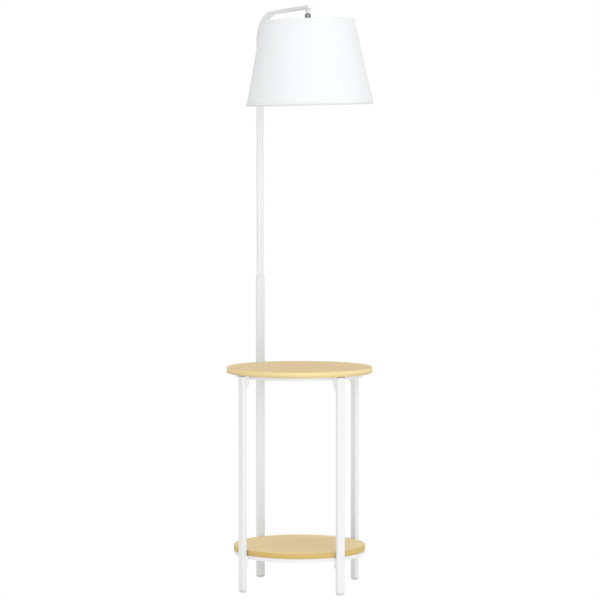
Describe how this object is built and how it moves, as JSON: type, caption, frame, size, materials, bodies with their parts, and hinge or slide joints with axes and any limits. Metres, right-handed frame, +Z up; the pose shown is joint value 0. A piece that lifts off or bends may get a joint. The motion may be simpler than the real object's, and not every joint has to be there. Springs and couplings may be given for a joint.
{
  "type": "floor lamp with table",
  "caption": "Floor lamp that rises from a round side table with a lower shelf; a bent pole holds a tapered fabric shade on a ball swivel.",
  "frame": {"origin": "on the floor, on the axis of the round tabletop, midway between the four feet", "axes": "+Z up; +Y from the table's axis towards the tall back leg and the pole; the arm points to -Y; +X to the right when looking along +Y"},
  "size_m": [0.4, 0.4135, 1.594],
  "materials": {
    "white_metal": "satin white powder coat",
    "foot_plastic": "moulded white plastic",
    "oak_face": "pale oak face with a satin lacquer",
    "oak_edge": "pale oak edge band with a satin lacquer",
    "zinc_steel": "bright zinc",
    "cap_plastic": "moulded white plastic",
    "gland_rubber": "soft white rubber",
    "lead_sheath": "extruded white sheath",
    "core_insulation": "extruded insulation",
    "satin_nickel": "satin nickel plate",
    "liner_nylon": "plain nylon",
    "holder_plastic": "moulded white plastic",
    "terminal_ceramic": "unglazed ceramic",
    "contact_brass": "plain brass",
    "shade_backing": "smooth translucent white sheet",
    "shade_cloth": "fine plain white weave",
    "opal_glass": "opal white glass",
    "bulb_metal": "bright rolled thread"
  },
  "bodies": {
    "stand": {"back_leg": "white_metal", "left_leg": "white_metal", "right_leg": "white_metal", "front_leg": "white_metal", "back_foot": "foot_plastic", "left_foot": "foot_plastic", "right_foot": "foot_plastic", "front_foot": "foot_plastic", "table_hoop": "white_metal", "shelf_hoop": "white_metal", "back_table_saddle": "white_metal", "left_table_saddle": "white_metal", "right_table_saddle": "white_metal", "front_table_saddle": "white_metal", "back_shelf_saddle": "white_metal", "left_shelf_saddle": "white_metal", "right_shelf_saddle": "white_metal", "front_shelf_saddle": "white_metal", "tabletop": "oak_face", "tabletop_band": "oak_edge", "shelf": "oak_face", "shelf_band": "oak_edge", "table_leg_bolts": "zinc_steel", "shelf_leg_bolts": "zinc_steel", "table_rivet_nuts": "zinc_steel", "shelf_rivet_nuts": "zinc_steel", "table_wood_screws": "zinc_steel", "shelf_wood_screws": "zinc_steel", "bent_pole": "white_metal", "arm_end_cap": "cap_plastic", "pole_screws": "zinc_steel", "pole_nut_plate": "zinc_steel", "cord_gland": "gland_rubber", "inner_connector": "lead_sheath", "inner_lead": "lead_sheath", "lead_cores": "core_insulation", "stem_locknut": "zinc_steel", "arm_washer": "satin_nickel", "stem_sleeve": "white_metal", "ball_stem": "satin_nickel"},
    "swivel_liner": {"swivel_liner": "liner_nylon"},
    "swivel_cup": {"swivel_cup": "satin_nickel", "swivel_base": "satin_nickel"},
    "head": {"turning_nipple": "zinc_steel", "nipple_locknut": "zinc_steel", "holder_wires": "core_insulation", "holder_cap": "holder_plastic", "holder_body": "holder_plastic", "holder_insert": "terminal_ceramic", "holder_shell": "contact_brass", "holder_contact": "contact_brass", "shade_spider": "white_metal", "bottom_rim_ring": "white_metal", "shade_liner": "shade_backing", "shade_fabric": "shade_cloth", "top_hem": "shade_cloth", "bottom_hem": "shade_cloth"},
    "clamp_ring": {"clamp_ring": "holder_plastic"},
    "bulb": {"bulb_glass": "opal_glass", "bulb_base": "bulb_metal"}
  },
  "joints": [
    {"name": "shade_tilt", "type": "hinge", "parent": "stand", "child": "swivel_liner", "pos_m": [0, -0.03897, 1.56869], "axis": [-1, 0, 0], "range_deg": [-5.5, 20]},
    {"name": "shade_lean", "type": "hinge", "parent": "swivel_liner", "child": "swivel_cup", "pos_m": [0, -0.03897, 1.56869], "axis": [0, -1, 0.0044], "range_deg": [-16, 16]},
    {"name": "shade_turn", "type": "hinge", "parent": "swivel_cup", "child": "head", "pos_m": [0.0002, -0.039, 1.56119], "axis": [-0.0262, 0.0044, 0.9996], "range_deg": [-170, 170]},
    {"name": "clamp_ring_turn", "type": "hinge", "parent": "head", "child": "clamp_ring", "pos_m": [0.00093, -0.03912, 1.5332], "axis": [-0.0262, 0.0044, 0.9996], "continuous": true},
    {"name": "bulb_turn", "type": "hinge", "parent": "head", "child": "bulb", "pos_m": [0.00224, -0.03934, 1.48321], "axis": [-0.0262, 0.0044, 0.9996], "continuous": true}
  ]
}
